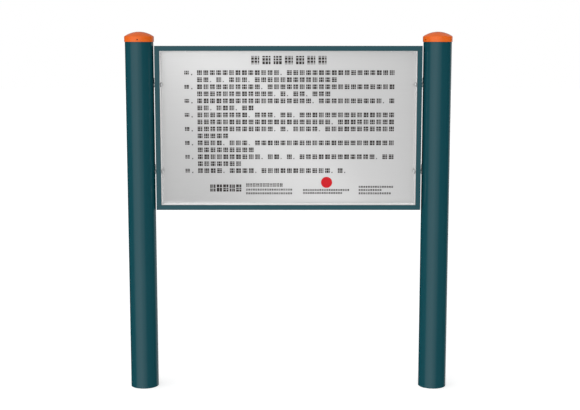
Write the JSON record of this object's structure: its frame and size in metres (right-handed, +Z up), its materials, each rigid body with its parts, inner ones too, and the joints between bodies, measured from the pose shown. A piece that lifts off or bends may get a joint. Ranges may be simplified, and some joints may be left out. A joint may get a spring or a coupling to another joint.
{
  "type": "notice board",
  "caption": "Outdoor notice board: a framed sheet panel bolted between two round domed-cap posts.",
  "frame": {"origin": "on the ground, midway between the two posts", "axes": "+X to the right as seen from the front, +Y to the back, +Z up; the printed face looks towards -Y"},
  "size_m": [1.322, 0.119, 1.4665],
  "materials": {
    "post": "dark teal satin powder coat on steel",
    "frame": "dark teal satin powder coat on steel",
    "cap": "orange semi-gloss powder coat on cast metal",
    "panel": "satin anodised sheet",
    "rivet": "plain aluminium",
    "bolt": "bright zinc plate",
    "washer": "black nylon",
    "cap_screw": "black oxide steel"
  },
  "bodies": {
    "root": {"left_post": "post", "right_post": "post", "left_cap": "cap", "right_cap": "cap", "left_cap_screws": "cap_screw", "right_cap_screws": "cap_screw", "frame_top_rail": "frame", "frame_bottom_rail": "frame", "frame_left_stile": "frame", "frame_right_stile": "frame", "front_panel": "panel", "front_panel_rivets": "rivet", "rear_panel": "panel", "rear_panel_rivets": "rivet", "upper_left_lug_pad": "post", "lower_left_lug_pad": "post", "upper_right_lug_pad": "post", "lower_right_lug_pad": "post", "upper_left_boss": "bolt", "lower_left_boss": "bolt", "upper_right_boss": "bolt", "lower_right_boss": "bolt", "upper_left_bolt": "bolt", "lower_left_bolt": "bolt", "upper_right_bolt": "bolt", "lower_right_bolt": "bolt", "upper_left_washer": "washer", "lower_left_washer": "washer", "upper_right_washer": "washer", "lower_right_washer": "washer"}
  },
  "joints": []
}
